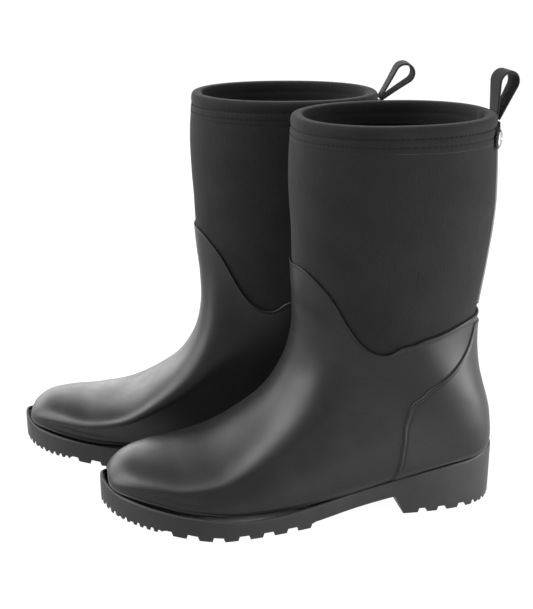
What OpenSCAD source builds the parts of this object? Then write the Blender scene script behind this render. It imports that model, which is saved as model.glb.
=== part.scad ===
// Pair of pull-on stable boots: a knitted-faced neoprene leg and sock in a moulded rubber foot.
// Frame: toes towards -Y, heels towards +Y, +X is the wearer's left, +Z is up, sole on Z = 0.
// Origin: bottom centre of the pair's bounding box. Millimetres.

/* [Size] */
// Length of each outsole, heel to toe
sole_len = 280; // [262:1:300]
// Width of each outsole across the ball
ball_w = 101; // [94:1:108]
// Height of the collar above the ground
boot_h = 275; // [262:1:290]

/* [Pair] */
// Distance between the two boots' centre planes
pair_gap = 113; // [113:1:140]
// How far the left boot stands behind the right one
stagger = 49.6; // [0:0.1:60]
// Toe-out angle of the right boot
toe_out = 9; // [0:0.5:14]

/* [Walls] */
// Moulded rubber around the foot
shell_t = 2.2; // [1.8:0.1:3]
// Moulded rubber at its wavy top edge
edge_t = 1.5; // [1.2:0.1:2]
// Neoprene round the foot
foot_foam = 3; // [2.5:0.1:3.5]
// Neoprene of the leg
leg_foam = 5; // [4:0.1:5.5]
// Textile lining
lining_t = 0.8; // [0.6:0.1:1]
// Clearance between bonded or sewn layers
ply_gap = 0.15; // [0.1:0.05:0.2]
// Raised heel counter
counter_t = 1; // [0.8:0.1:1.5]
// Tape of the back strip
strip_t = 1.1; // [0.8:0.1:1.5]

/* [Sole] */
// Width of the outsole's cup wall
cup_wall = 1.4; // [1.2:0.1:1.6]
// Depth of the tread under the ball and the heel
lug_h = 3; // [2.2:0.1:3.6]
// Thickness of the insole board
board_t = 2; // [1.5:0.1:2.2]
// Thickness of the steel shank
shank_t = 1.4; // [1:0.1:1.5]
// Width of the steel shank
shank_w = 16; // [12:1:20]
// Thickness of the removable footbed
footbed_t = 3; // [2:0.1:3.5]

/* [Collar] */
// Station at which the collar hem starts
hem_station = 16.05; // [15.9:0.05:16.2]
// Thickness of the collar hem
hem_t = 0.9; // [0.7:0.1:1.1]

/* [Pull loop] */
// Width of the loop's webbing
webbing_w = 13; // [10:1:16]
// Thickness of the loop's webbing
webbing_t = 1.5; // [1.2:0.1:1.8]
// Length of a loop above its sewn base
loop_len = 32; // [26:1:38]
// Outer radius of a loop's round top
loop_r = 7.5; // [6.5:0.5:9]
// Lean of the left loop towards the heel
left_lean = 13; // [5:1:30]
// Lean of the right loop towards the heel
right_lean = 42; // [30:1:60]

/* [Rivet] */
// Diameter of the rivet's metal cap
rivet_d = 11.5; // [9:0.5:13]
// Diameter of the rubber washer under the cap
washer_d = 14; // [12:0.5:15]
// Diameter of the rivet's stem
stem_d = 4; // [3:0.5:5]

/* [Hidden] */
$fn = 48;

// Scales from the reference boot that the tables below describe
len_k = sole_len / 280;
wid_k = ball_w / 101;
ht_k = boot_h / 275;
mid = sole_len / 2;
ref_mid = 140;

// The boot's skin as a fan of sections, from the toe tip over the instep and up to the collar.
// Each row: top [from heel, height], bottom or back [from heel, height], half width, where the
// widest line lies from top to bottom, roundness above and below it, sideways shift of the whole
// section, and sideways shift of its crest (minus is towards the other boot).
SECTIONS = [
  [277, 25, 277, 18.8, 5.5, 0.50, 2.0, 2.0, -7, 0],
  [273.3, 35.3, 274, 18.3, 16.2, 0.42, 2.0, 3.0, -6.5, 0],
  [263, 42.2, 265, 16.6, 26.6, 0.40, 2.0, 4.0, -5.5, -1.5],
  [247.5, 43.6, 248, 14.6, 36.5, 0.37, 2.0, 6.0, -4, -6],
  [226, 42.8, 226, 13.2, 44.5, 0.35, 2.0, 7.0, -2.2, -11],
  [201, 47.5, 197, 11.6, 47.5, 0.32, 2.0, 7.0, -0.6, -15],
  [178, 61.6, 162, 11.3, 45, 0.30, 2.0, 7.0, 1, -18],
  [160, 77.8, 122, 13.8, 41, 0.30, 2.1, 6.5, 2, -20],
  [147.5, 99, 80, 21.5, 38.2, 0.32, 2.2, 6.5, 2.2, -21],
  [142.5, 121, 42, 27, 37.3, 0.38, 2.2, 6.0, 2, -19],
  [142.5, 143, 11, 36, 37, 0.46, 2.2, 4.4, 1.5, -14],
  [144, 160, 6.6, 64, 38.5, 0.52, 2.2, 2.8, 1, -8],
  [145.3, 178, 15.3, 100, 40.5, 0.52, 2.2, 2.2, 0.5, -3],
  [146.3, 197, 17.8, 134, 43, 0.50, 2.2, 2.2, 0.2, 0],
  [147.4, 217, 13.2, 174, 46, 0.50, 2.2, 2.2, 0, 0],
  [148.3, 238, 9.8, 214, 49, 0.50, 2.2, 2.2, 0, 0],
  [147.2, 259, 11.6, 256.5, 50.5, 0.50, 2.2, 2.2, 0, 0],
  [145, 275, 13.2, 275, 50, 0.50, 2.2, 2.2, 0, 0]
];
SECTION_SCALE = [len_k, ht_k, len_k, ht_k, wid_k, 1, 1, 1, wid_k, wid_k];
last_section = len(SECTIONS) - 1;

// Outsole outline: distance from the heel, half width, sideways shift of the middle
OUTLINE = [
  [0, 0, 0], [3, 14.5, 0], [10, 25, 0], [22, 32.2, 0.3], [40, 35.4, 0.8], [60, 35.4, 1.5],
  [85, 33.8, 2.2], [110, 34.8, 2.5], [135, 39.5, 2.2], [160, 45.2, 1.2], [185, 49.4, 0],
  [208, 50.4, -1], [230, 46.8, -2.5], [248, 40, -4], [262, 30.7, -5.5], [272, 19.8, -6.5],
  [278, 9.4, -7], [280, 0, -7]
];
outline_steps = 26;

// Heights along the sole, each against the distance from the heel
WELT = [
  [0, 38.6], [4, 39.2], [8, 38.9], [14, 37.9], [20, 36.8], [35, 34.9], [54, 32.1], [73, 28], [91, 23.9],
  [105, 21.2], [120, 18.7], [134, 16.6], [149, 14.7], [161, 13.6], [174, 13.1], [186, 13.3],
  [203, 15.2], [217, 17.2], [230, 19], [243, 21.2], [255, 23], [264, 24.3], [270, 25], [275, 26.8],
  [278, 29], [280, 31]
];
CUP_FLOOR = [
  [0, 24.2], [42, 24.2], [80, 18.7], [122, 11], [162, 8.5], [197, 8.8], [226, 10.4], [248, 11.8],
  [265, 13.8], [274, 15.5], [280, 16.5]
];
GROUND = [
  [0, 2.5], [8, 0], [162, 0], [203, 0], [215, 1.2], [230, 3.4], [246, 5.8], [262, 7.4], [274, 9], [280, 12]
];
HEEL_LUGS = [[4, 9], [13.5, 18.5], [22, 26.5], [33.5, 41.5], [49, 56], [63, 73.5]];
BALL_LUGS = [
  [141.5, 150.5], [159, 167.5], [176, 184.5], [193, 202], [210.5, 219], [227.5, 236], [244, 247.5],
  [251.5, 255], [259, 262.5], [266.5, 270]
];
WAIST = [[80, 13.8], [95, 11.1], [110, 8.4], [125, 5.9], [138, 4]];
// Raised floor of the grooves towards the toe, where the lugs are low
GROOVE = [[0, lug_h], [236, lug_h], [245, 2.5], [280, 2]];
lug_slant = 1;
prism_h = 60;

// Top edge of the rubber: angle round the boot from its front, station
EDGE = [
  [0, 11.9], [25, 12.02], [36, 11.9], [46, 11.62], [54, 11.1], [62, 10.74], [70, 10.66], [77, 10.85],
  [86, 11.45], [98, 11.98], [110, 12.33], [130, 12.82], [160, 13.13], [180, 13.18]
];
// Heel counter: its front edge as station, angle round the boot, and the back seam's station beside it
COUNTER_SEAM = [
  [7.95, 150, 9.9], [8.1, 130, 10], [8.3, 115.5, 10.15], [8.6, 102.7, 10.35], [9, 95.2, 10.6],
  [9.6, 91.6, 10.95], [10.3, 92, 11.3], [10.8, 95.7, 11.55], [11.2, 103, 11.8], [11.6, 114.5, 12.05],
  [12, 127.6, 12.35], [12.4, 139, 12.65], [12.7, 145.2, 12.85], [12.93, 149, 13]
];
counter_cols = 8;
// The back strip's half angle, measured from the back seam
strip_angle = 19;

columns = 24;
step_a = 360 / columns;
ANGLES = [for (j = [0:columns - 1]) j * step_a];

// ---- Layers: depth below the skin at a station --------------------------------------------
// 0 over the foot, 1 on the leg
function leg_share(t) = let (u = min(1, max(0, (t - 9) / 3))) u * u * (3 - 2 * u);
function shell_in(t) = shell_t * (1 - leg_share(t)) - ply_gap * leg_share(t);
function shell_out(t) = -(edge_t + ply_gap) * leg_share(t);
function foam_out(t) = shell_in(t) + ply_gap;
function foam_in(t) = foam_out(t) + foot_foam + (leg_foam - foot_foam) * leg_share(t);
function lining_out(t) = foam_in(t) + ply_gap;
function lining_in(t) = lining_out(t) + lining_t;

// ---- Skin ------------------------------------------------------------------------------------
function signed_pow(v, e) = sign(v) * pow(abs(v), e);
function clamp_row(i) = SECTIONS[min(last_section, max(0, i))];

// Catmull-Rom row of the section table at station t
function section(t) =
  let (i = min(last_section - 1, floor(t)), u = t - i)
  let (a = clamp_row(i - 1), b = clamp_row(i), c = clamp_row(i + 1), d = clamp_row(i + 2))
  [for (k = [0:len(a) - 1])
    SECTION_SCALE[k] * 0.5 * (2 * b[k] + (c[k] - a[k]) * u
      + (2 * a[k] - 5 * b[k] + 4 * c[k] - d[k]) * u * u
      + (3 * b[k] - a[k] - 3 * c[k] + d[k]) * u * u * u)];

// Point of the skin at station t and angle a, depth mm below the surface
function skin(t, a, depth) =
  let (r = section(t), top = [r[0], r[1]], bottom = [r[2], r[3]])
  let (along = (bottom - top) / norm(bottom - top))
  let (c = cos(a), n = c >= 0 ? r[6] : r[7], share = pow(abs(c), 2 / n))
  let (v = c >= 0 ? r[5] * (1 - share) : r[5] + (1 - r[5]) * share)
  let (p = top + along * depth + (bottom - top - 2 * along * depth) * v)
  let (toe_wall = depth * max(0, 1 - t / 3.5))
  [signed_pow(sin(a), 2 / n) * (r[4] - depth) + r[8] + r[9] * (1 - v) * (1 - v),
   mid - p[0] + toe_wall, p[1]];

// Stations of the rings over the foot, shared by every layer that touches its neighbour
FOOT_RINGS = [0.75, 1.1, 1.6, 2.2, 2.9, 3.6, 4.3, 5, 5.6, 6.2, 6.8, 7.4, 8, 8.5, 9];
function even(list) = [for (t = list) [for (a = ANGLES) t]];

// The next rings climb to the shell's top edge column by column, and then to a level ring
function half_turn(a) = a > 180 ? 360 - a : a;
function edge_at(a) = lookup(half_turn(a), EDGE);
ankle_steps = 6;
// The ring at which the leg's neoprene meets the sock, and the room between the two in stations
seam_ring = 4;
seam_room = 0.02;
ANKLE_RINGS = [for (i = [1:ankle_steps]) [for (a = ANGLES) 9 + (edge_at(a) - 9) * i / ankle_steps]];
function leg_rings(top, steps) =
  [for (i = [1:steps]) [for (a = ANGLES) edge_at(a) + (top - edge_at(a)) * i / steps]];
function layer(rings, depth) =
  [for (ring = rings) [for (j = [0:columns - 1]) skin(ring[j], ANGLES[j], depth(ring[j]))]];

// ---- Meshes ----------------------------------------------------------------------------------
function flat(l) = [for (x = l) for (y = x) y];

// Closed cup between an outer and an inner set of rings, both shut at the toe
module cup(outer, inner) {
  n = len(outer[0]);
  no = len(outer);
  ni = len(inner);
  base = no * n;
  co = base + ni * n;
  points = concat(flat(outer), flat(inner), [column_mean(outer[0])], [column_mean(inner[0])]);
  faces = concat(
    [for (i = [0:no - 2]) for (j = [0:n - 1]) [i * n + j, (i + 1) * n + j, (i + 1) * n + (j + 1) % n]],
    [for (i = [0:no - 2]) for (j = [0:n - 1]) [i * n + j, (i + 1) * n + (j + 1) % n, i * n + (j + 1) % n]],
    [for (i = [0:ni - 2]) for (j = [0:n - 1])
      [base + i * n + j, base + (i + 1) * n + (j + 1) % n, base + (i + 1) * n + j]],
    [for (i = [0:ni - 2]) for (j = [0:n - 1])
      [base + i * n + j, base + i * n + (j + 1) % n, base + (i + 1) * n + (j + 1) % n]],
    [for (j = [0:n - 1]) [(no - 1) * n + j, base + (ni - 1) * n + j, base + (ni - 1) * n + (j + 1) % n]],
    [for (j = [0:n - 1])
      [(no - 1) * n + j, base + (ni - 1) * n + (j + 1) % n, (no - 1) * n + (j + 1) % n]],
    [for (j = [0:n - 1]) [co, j, (j + 1) % n]],
    [for (j = [0:n - 1]) [co + 1, base + (j + 1) % n, base + j]]
  );
  polyhedron(points, faces);
}
function column_mean(ring) = [for (k = [0:2]) let (v = [for (p = ring) p[k]]) v * [for (x = v) 1] / len(v)];

// Curved plate between two grids of points, outer and inner
module plate(outer, inner) {
  m = len(outer);
  n = len(outer[0]);
  b = m * n;
  rim = concat(
    [for (j = [0:n - 1]) j],
    [for (i = [1:m - 1]) i * n + n - 1],
    [for (j = [n - 2:-1:0]) (m - 1) * n + j],
    [for (i = [m - 2:-1:1]) i * n]
  );
  k = len(rim);
  faces = concat(
    [for (i = [0:m - 2]) for (j = [0:n - 2]) [i * n + j, (i + 1) * n + j, (i + 1) * n + j + 1]],
    [for (i = [0:m - 2]) for (j = [0:n - 2]) [i * n + j, (i + 1) * n + j + 1, i * n + j + 1]],
    [for (i = [0:m - 2]) for (j = [0:n - 2]) [b + i * n + j, b + (i + 1) * n + j + 1, b + (i + 1) * n + j]],
    [for (i = [0:m - 2]) for (j = [0:n - 2]) [b + i * n + j, b + i * n + j + 1, b + (i + 1) * n + j + 1]],
    [for (i = [0:k - 1]) [rim[i], rim[(i + 1) % k], b + rim[(i + 1) % k]]],
    [for (i = [0:k - 1]) [rim[i], b + rim[(i + 1) % k], b + rim[i]]]
  );
  polyhedron(concat(flat(outer), flat(inner)), faces);
}

// Closed hoop round the leg: one loop of profile points at each angle
module hoop(profiles) {
  n = len(profiles);
  k = len(profiles[0]);
  faces = concat(
    [for (j = [0:n - 1]) for (i = [0:k - 1])
      [j * k + i, j * k + (i + 1) % k, ((j + 1) % n) * k + (i + 1) % k]],
    [for (j = [0:n - 1]) for (i = [0:k - 1])
      [j * k + i, ((j + 1) % n) * k + (i + 1) % k, ((j + 1) % n) * k + i]]
  );
  polyhedron(flat(profiles), faces);
}

// ---- Sole outlines and side profiles ---------------------------------------------------------
function half_at(f) = sqrt(max(0, lookup(f, [for (o = OUTLINE) [o[0], o[1] * o[1]]]))) * wid_k;
function shift_at(f) = lookup(f, [for (o = OUTLINE) [o[0], o[2]]]) * wid_k;
function outline_point(i) =
  let (q = 180 * i / outline_steps, f = ref_mid * (1 - cos(q)), side = i <= outline_steps ? 1 : -1)
  [side * half_at(f) + shift_at(f), mid - f * len_k];
SOLE_POINTS = [for (i = [0:2 * outline_steps - 1]) outline_point(i)];

// The outline moved inwards by d
function inset(points, d) =
  let (n = len(points))
  [for (i = [0:n - 1])
    let (e = points[(i + 1) % n] - points[(i + n - 1) % n])
    points[i] + d * [e[1], -e[0]] / norm(e)];

// Side profile, drawn as distance from the heel against height, stood upright along the boot
module side_profile(points, half = 80) {
  translate([half, mid, 0])
    rotate([90, 0, -90])
      linear_extrude(2 * half)
        polygon(points);
}
function lug_points(lug) =
  let (a = lug[0], b = lug[1])
  [[(a - lug_slant), lookup(a, GROUND) + lookup(a, GROOVE)], [a, lookup(a, GROUND)],
   [b, lookup(b, GROUND)], [(b + lug_slant), lookup(b, GROUND) + lookup(b, GROOVE)]];
function scaled(points) = [for (p = points) [p[0] * len_k, p[1] * ht_k]];
// Welt or cup line as points, from the toe back to the heel
function back_line(table, lift) = [for (i = [len(table) - 1:-1:0]) [table[i][0], table[i][1] + lift]];

// ---- Sub-parts of one boot, drawn as a left boot at the origin -------------------------------
module outsole() {
  profile = concat(
    [[-1, 38.6], [-1, 6]],
    flat([for (l = HEEL_LUGS) lug_points(l)]),
    WAIST,
    flat([for (l = BALL_LUGS) lug_points(l)]),
    [[274, 11.5], [281, 14.5], [281, 31]],
    back_line(WELT, 0)
  );
  color([0.2, 0.2, 0.2])
    difference() {
      intersection() {
        linear_extrude(prism_h) polygon(SOLE_POINTS);
        side_profile(scaled(profile));
      }
      intersection() {
        linear_extrude(prism_h) polygon(inset(SOLE_POINTS, cup_wall));
        side_profile(scaled(concat(CUP_FLOOR, [[281, 70], [-1, 70]])));
      }
      shank_space(shank_w + 0.8, 59, 163, shank_t + 0.5, 1);
      centre_groove(8, 74, 2.4);
      centre_groove(140, 203, 2.4);
    }
}

// Groove along the tread's middle
module centre_groove(from, to, depth) {
  groove_w = 7;
  translate([-groove_w / 2, mid - to * len_k, -1])
    cube([groove_w, (to - from) * len_k, depth + 1]);
}

// Bar that follows the cup floor from one distance to another, depth mm below it to lift mm above
module shank_space(width, from, to, depth, lift) {
  stops = [for (f = [from, 80, 101, 122, 142, to]) f];
  line = [for (f = stops) [f, lookup(f, CUP_FLOOR)]];
  side_profile(scaled(concat(
    [for (p = line) [p[0], p[1] - depth]],
    [for (i = [len(line) - 1:-1:0]) [line[i][0], line[i][1] + lift]]
  )), width / 2);
}

module shank() {
  color([0.6, 0.62, 0.65])
    shank_space(shank_w, 61, 161, shank_t + 0.2, -0.2);
}

module insole_board() {
  color([0.55, 0.45, 0.32])
    intersection() {
      linear_extrude(prism_h) polygon(inset(SOLE_POINTS, cup_wall + 2.5));
      side_profile(scaled(concat(
        [for (p = CUP_FLOOR) [p[0], p[1] + 0.25]],
        back_line(CUP_FLOOR, 0.25 + board_t)
      )));
    }
}

module foot_shell() {
  outer = concat(even([0, 0.4]), even(FOOT_RINGS), ANKLE_RINGS);
  inner = concat(even([0.36]), even(FOOT_RINGS), ANKLE_RINGS);
  color([0.24, 0.24, 0.25])
    cup(layer(outer, function(t) shell_out(t)), layer(inner, function(t) shell_in(t)));
}

// The neoprene inside the rubber: a sock round the foot and heel, up to the seam with the leg
module neoprene_sock() {
  inner = concat(even(FOOT_RINGS), [for (i = [0:seam_ring]) ANKLE_RINGS[i]]);
  color([0.18, 0.18, 0.19])
    cup(
      layer(concat(even([0.36]), inner), function(t) foam_out(t)),
      layer(inner, function(t) foam_in(t))
    );
}

// The neoprene of the leg, a tube from the hidden seam up to the rim
module neoprene_leg() {
  seam = [for (t = ANKLE_RINGS[seam_ring]) t + seam_room];
  rings = concat([seam, ANKLE_RINGS[ankle_steps - 1]], leg_rings(16.86, 7));
  outside = layer(rings, function(t) foam_out(t));
  inside = layer(rings, function(t) foam_in(t));
  last = len(rings) - 1;
  color([0.15, 0.15, 0.16])
    hoop([for (j = [0:columns - 1])
      concat([for (i = [0:last]) outside[i][j]], [for (i = [last:-1:0]) inside[i][j]])]);
}

module lining() {
  rings = concat(even(FOOT_RINGS), ANKLE_RINGS, leg_rings(hem_station - 0.1, 5));
  inner_rings = concat(even([0.9]), [for (i = [1:len(rings) - 1]) rings[i]]);
  color([0.22, 0.22, 0.23])
    cup(layer(rings, function(t) lining_out(t)), layer(inner_rings, function(t) lining_in(t)));
}

// Heel counter: a raised rubber panel wrapped round the heel of the shell. Each of its rows runs
// from its outer edge over the back seam to its inner edge.
module heel_counter() {
  function cell(row, u) =
    let (t = row[0] + (row[2] - row[0]) * (1 - u * u))
    [t, 180 - (180 - row[1]) * u];
  function grid(depth) =
    [for (row = COUNTER_SEAM) [for (j = [0:2 * counter_cols])
      let (c = cell(row, 1 - j / counter_cols))
      skin(c[0], c[1], shell_out(c[0]) - depth)]];
  color([0.3, 0.3, 0.31])
    plate(grid(ply_gap + counter_t), grid(ply_gap));
}

// Back strip: rubberised tape over the leg's back seam, from the shell's edge to the collar
module back_strip() {
  cols = 4;
  rings = [13.32, 13.8, 14.3, 14.8, 15.3, 15.7, hem_station - 0.06];
  function around(j) = 180 - strip_angle + 2 * strip_angle * j / cols;
  color([0.45, 0.45, 0.46])
    plate(
      [for (t = rings) [for (j = [0:cols]) skin(t, around(j), -ply_gap - strip_t)]],
      [for (t = rings) [for (j = [0:cols]) skin(t, around(j), -ply_gap)]]
    );
}

// Collar hem: a folded band over the top of the leg, down both faces
module collar_hem() {
  out0 = -ply_gap;
  out1 = out0 - hem_t;
  in0 = leg_foam + ply_gap;
  in1 = in0 + hem_t;
  rim = 16.88;
  profile = [
    [hem_station, out1], [16.45, out1], [16.85, out1], [16.96, out1 + 0.4], [17, out1 + 1.3],
    [17, in1 - 1.3], [16.96, in1 - 0.4], [16.85, in1], [16.45, in1], [hem_station, in1],
    [hem_station, in0], [16.45, in0], [rim, in0], [rim, out0], [16.45, out0], [hem_station, out0]
  ];
  color([0.13, 0.13, 0.14])
    hoop([for (a = ANGLES) [for (p = profile) skin(p[0], a, p[1])]]);
}

// Cover stitch: two rows of thread round the outside of the hem
module hem_stitching() {
  turns = 48;
  thread_r = 0.35;
  depth = -ply_gap - hem_t - thread_r - 0.05;
  zigzag = 0.03;
  color([0.08, 0.08, 0.08])
    for (t = [16.18, 16.44])
      hoop([for (i = [0:turns - 1])
        let (p = skin(t + (i % 2 == 0 ? zigzag : -zigzag), i * 360 / turns, depth))
        let (a = i * 360 / turns)
        [for (q = [0:90:270])
          p + thread_r * [sin(a) * cos(q), -cos(a) * cos(q), sin(q)]]]);
}

// ---- Pull loop -------------------------------------------------------------------------------
// Room between the loop's sewn end and the collar, so that the loop can turn
loop_gap = 0.6;
// The hinge line lies on the outside of the collar's back, where the webbing is sewn down
hem_back = skin(16.6, 180, -ply_gap - hem_t);
hinge_y = hem_back[1] + loop_gap + webbing_t;
hinge_z = 269.5 * ht_k;
// The tab lies flat against the collar's back, which leans forward by this much
tab_tilt = 4.5;
tab_h = 10;

module at_loop_hinge(lean) {
  translate([0, hinge_y, hinge_z])
    rotate([-lean, 0, 0])
      children();
}

// Outline of a drop: a small round tip at the origin and a round top of radius r, tip radius tip
function drop(length, r, tip, base = 0) =
  let (reach = length - r - base, spread = asin((r - tip) / reach), steps = 14)
  concat(
    [for (i = [0:steps]) let (q = -spread + (180 + 2 * spread) * i / steps)
      [r * cos(q), base + reach + r * sin(q)]],
    [for (i = [0:6]) let (q = 180 + spread + (180 - 2 * spread) * i / 6)
      [tip * cos(q), base + tip * sin(q)]]
  );

module pull_loop(lean) {
  hole_base = 8;
  color([0.1, 0.1, 0.1])
    at_loop_hinge(lean)
      translate([-webbing_w / 2, 0, 0])
        rotate([90, 0, 90])
          linear_extrude(webbing_w)
            difference() {
              polygon(drop(loop_len, loop_r, webbing_t));
              polygon(drop(loop_len - webbing_t, loop_r - webbing_t, 0.5, hole_base));
            }
}

// The two ends of the webbing, sewn flat on the collar under the loop
module loop_tab() {
  color([0.1, 0.1, 0.1])
    at_loop_hinge(-tab_tilt)
      translate([-webbing_w / 2, -webbing_t, -webbing_t - 0.4 - tab_h])
        cube([webbing_w, 2 * webbing_t, tab_h]);
}

module tab_stitching() {
  thread_r = 0.3;
  run = webbing_w - 4;
  color([0.2, 0.2, 0.2])
    at_loop_hinge(-tab_tilt)
      for (z = [-3.6, -6.6, -9.6])
        translate([-run / 2, webbing_t + thread_r + 0.05, z])
          rotate([0, 90, 0])
            cylinder(r = thread_r, h = run, $fn = 24);
}

// ---- Rivet -----------------------------------------------------------------------------------
rivet_station = 16.12;
rivet_angle = 155;
rivet_point = skin(rivet_station, rivet_angle, -ply_gap - hem_t);
// Direction out of the leg at the rivet, measured from straight back
rivet_turn = 33;
module at_rivet(side) {
  translate([side * rivet_point[0], rivet_point[1], rivet_point[2]])
    rotate([0, 0, -side * rivet_turn])
      rotate([-90, 0, 0])
        children();
}

module rivet_washer(side) {
  color([0.1, 0.1, 0.1])
    at_rivet(side)
      translate([0, 0, 0.35])
        difference() {
          cylinder(d = washer_d, h = 0.8);
          translate([0, 0, -1]) cylinder(d = stem_d + 0.4, h = 3);
        }
}

module rivet_cap(side) {
  cap_h = 1.5;
  edge_h = 0.5;
  color([0.8, 0.8, 0.82])
    at_rivet(side)
      translate([0, 0, 1.25])
        rotate_extrude()
          polygon([[0, 0], [rivet_d / 2, 0], [rivet_d / 2, edge_h], [rivet_d / 2 - 0.6, cap_h - 0.3],
                   [rivet_d / 2 - 1.6, cap_h], [0, cap_h]]);
}

module rivet_stem(side) {
  through = leg_foam + 2 * hem_t + 2.2;
  flange_d = 9;
  flange_t = 0.8;
  color([0.7, 0.7, 0.72])
    at_rivet(side)
      translate([0, 0, -through]) {
        translate([0, 0, flange_t - 0.01]) cylinder(d = stem_d, h = through + 1.15 - flange_t);
        cylinder(d = flange_d, h = flange_t);
      }
}

// ---- Footbed ---------------------------------------------------------------------------------
// Outline of the removable footbed: distance from the heel, half width, sideways shift
FOOTBED = [
  [26, 0, 1.8], [27.5, 8, 1.8], [30, 13.5, 1.8], [34, 17.6, 1.8], [42, 21, 1.9], [60, 23, 2.1],
  [80, 22.9, 2.1], [100, 22.7, 2.2], [120, 23.4, 2], [140, 25.4, 1.8], [160, 28, 1.2],
  [180, 31.7, 0.3], [200, 33.2, -0.9], [215, 33, -1.7], [230, 30.8, -2.7], [240, 28.2, -3.5],
  [248, 24.6, -4.2], [254, 20.4, -4.8], [258, 14.5, -5.2], [260, 0, -5.4]
];
footbed_lift = 11.6;
module footbed() {
  last = len(FOOTBED) - 1;
  function side_points(side, order) =
    [for (i = order) let (r = FOOTBED[i]) [(side * r[1] + r[2]) * wid_k, mid - r[0] * len_k]];
  points = concat(side_points(1, [0:last]), side_points(-1, [last - 1:-1:1]));
  color([0.35, 0.35, 0.37])
    intersection() {
      linear_extrude(prism_h) polygon(points);
      side_profile(scaled(concat(
        [for (p = CUP_FLOOR) [p[0], p[1] + footbed_lift]],
        back_line(CUP_FLOOR, footbed_lift + footbed_t)
      )));
    }
}

// ---- Placement of the pair -------------------------------------------------------------------
rim_half = 50.5 * wid_k + ply_gap + hem_t;
function turned(p) = [cos(toe_out) * p[0] - sin(toe_out) * p[1], sin(toe_out) * p[0] + cos(toe_out) * p[1]];
outer_reach = max([for (p = SOLE_POINTS) turned(p)[0]]);
toe_reach = max([for (p = SOLE_POINTS) -turned(p)[1]]);
loop_back = hinge_y + (loop_len - loop_r) * sin(left_lean) + loop_r;
shift_x = (outer_reach - rim_half) / 2;
shift_y = (toe_reach - loop_back) / 2;

module left_boot() {
  translate([pair_gap / 2 + shift_x, stagger / 2 + shift_y, 0])
    children();
}
module right_boot() {
  translate([-pair_gap / 2 + shift_x, -stagger / 2 + shift_y, 0])
    rotate([0, 0, -toe_out])
      mirror([1, 0, 0])
        children();
}

left_boot() outsole();  // left_outsole
left_boot() shank();  // left_shank
left_boot() insole_board();  // left_insole_board
left_boot() foot_shell();  // left_foot_shell
left_boot() heel_counter();  // left_heel_counter
left_boot() neoprene_sock();  // left_neoprene_sock
left_boot() neoprene_leg();  // left_neoprene_leg
left_boot() back_strip();  // left_back_strip
left_boot() lining();  // left_lining
left_boot() collar_hem();  // left_collar_hem
left_boot() hem_stitching();  // left_hem_stitching
left_boot() loop_tab();  // left_loop_tab
left_boot() tab_stitching();  // left_tab_stitching
left_boot() pull_loop(left_lean);  // left_pull_loop
left_boot() rivet_washer(1);  // left_rivet_washer
left_boot() rivet_cap(1);  // left_rivet_cap
left_boot() rivet_stem(1);  // left_rivet_stem
left_boot() footbed();  // left_footbed
right_boot() outsole();  // right_outsole
right_boot() shank();  // right_shank
right_boot() insole_board();  // right_insole_board
right_boot() foot_shell();  // right_foot_shell
right_boot() heel_counter();  // right_heel_counter
right_boot() neoprene_sock();  // right_neoprene_sock
right_boot() neoprene_leg();  // right_neoprene_leg
right_boot() back_strip();  // right_back_strip
right_boot() lining();  // right_lining
right_boot() collar_hem();  // right_collar_hem
right_boot() hem_stitching();  // right_hem_stitching
right_boot() loop_tab();  // right_loop_tab
right_boot() tab_stitching();  // right_tab_stitching
right_boot() pull_loop(right_lean);  // right_pull_loop
right_boot() rivet_washer(-1);  // right_rivet_washer
right_boot() rivet_cap(-1);  // right_rivet_cap
right_boot() rivet_stem(-1);  // right_rivet_stem
right_boot() footbed();  // right_footbed
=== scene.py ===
"""A pair of pull-on stable boots: moulded rubber foot, neoprene leg, webbing pull loop and rivet.

Every shape is worked out in one boot's own frame, in millimetres: x sideways towards the outside of
the foot, y towards the heel, z up. place() then sets it down as the left or the right boot.
"""
import math

import bmesh
import bpy
import numpy as np
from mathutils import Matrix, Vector
from mathutils.bvhtree import BVHTree


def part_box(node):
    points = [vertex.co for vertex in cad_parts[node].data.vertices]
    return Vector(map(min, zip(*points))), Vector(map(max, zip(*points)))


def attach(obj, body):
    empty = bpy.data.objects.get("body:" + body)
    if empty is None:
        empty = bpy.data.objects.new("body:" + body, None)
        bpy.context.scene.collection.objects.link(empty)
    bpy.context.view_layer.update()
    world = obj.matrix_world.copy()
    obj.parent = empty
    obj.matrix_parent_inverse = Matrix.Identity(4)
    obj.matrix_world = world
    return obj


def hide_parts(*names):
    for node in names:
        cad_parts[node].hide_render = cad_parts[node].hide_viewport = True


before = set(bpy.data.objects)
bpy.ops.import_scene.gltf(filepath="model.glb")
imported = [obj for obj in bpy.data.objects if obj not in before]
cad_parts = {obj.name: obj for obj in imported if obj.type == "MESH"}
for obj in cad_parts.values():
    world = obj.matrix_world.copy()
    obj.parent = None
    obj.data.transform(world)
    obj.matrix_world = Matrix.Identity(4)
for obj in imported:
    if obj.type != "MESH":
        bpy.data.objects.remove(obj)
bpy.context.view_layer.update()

MM = 0.001

# ---- Driving dimensions, in millimetres -----------------------------------------------------------
SOLE_LEN = 280
MID = SOLE_LEN / 2
SHELL_T = 2.2
EDGE_T = 1.5
FOOT_FOAM = 3
LEG_FOAM = 5
LINING_T = 0.8
PLY = 0.15
COUNTER_T = 1.0
STRIP_T = 1.1
STRIP_ANGLE = 19
HEM_STATION = 16.05
WEBBING_W = 13
WEBBING_T = 1.5
LOOP_LEN = 32
LOOP_R = 7.5
LEAN = {"left": 13, "right": 42}
TOE_OUT = {"left": 0, "right": 9}
OUTSIDE = {"left": 1, "right": -1}
SIDES = ("left", "right")

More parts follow.
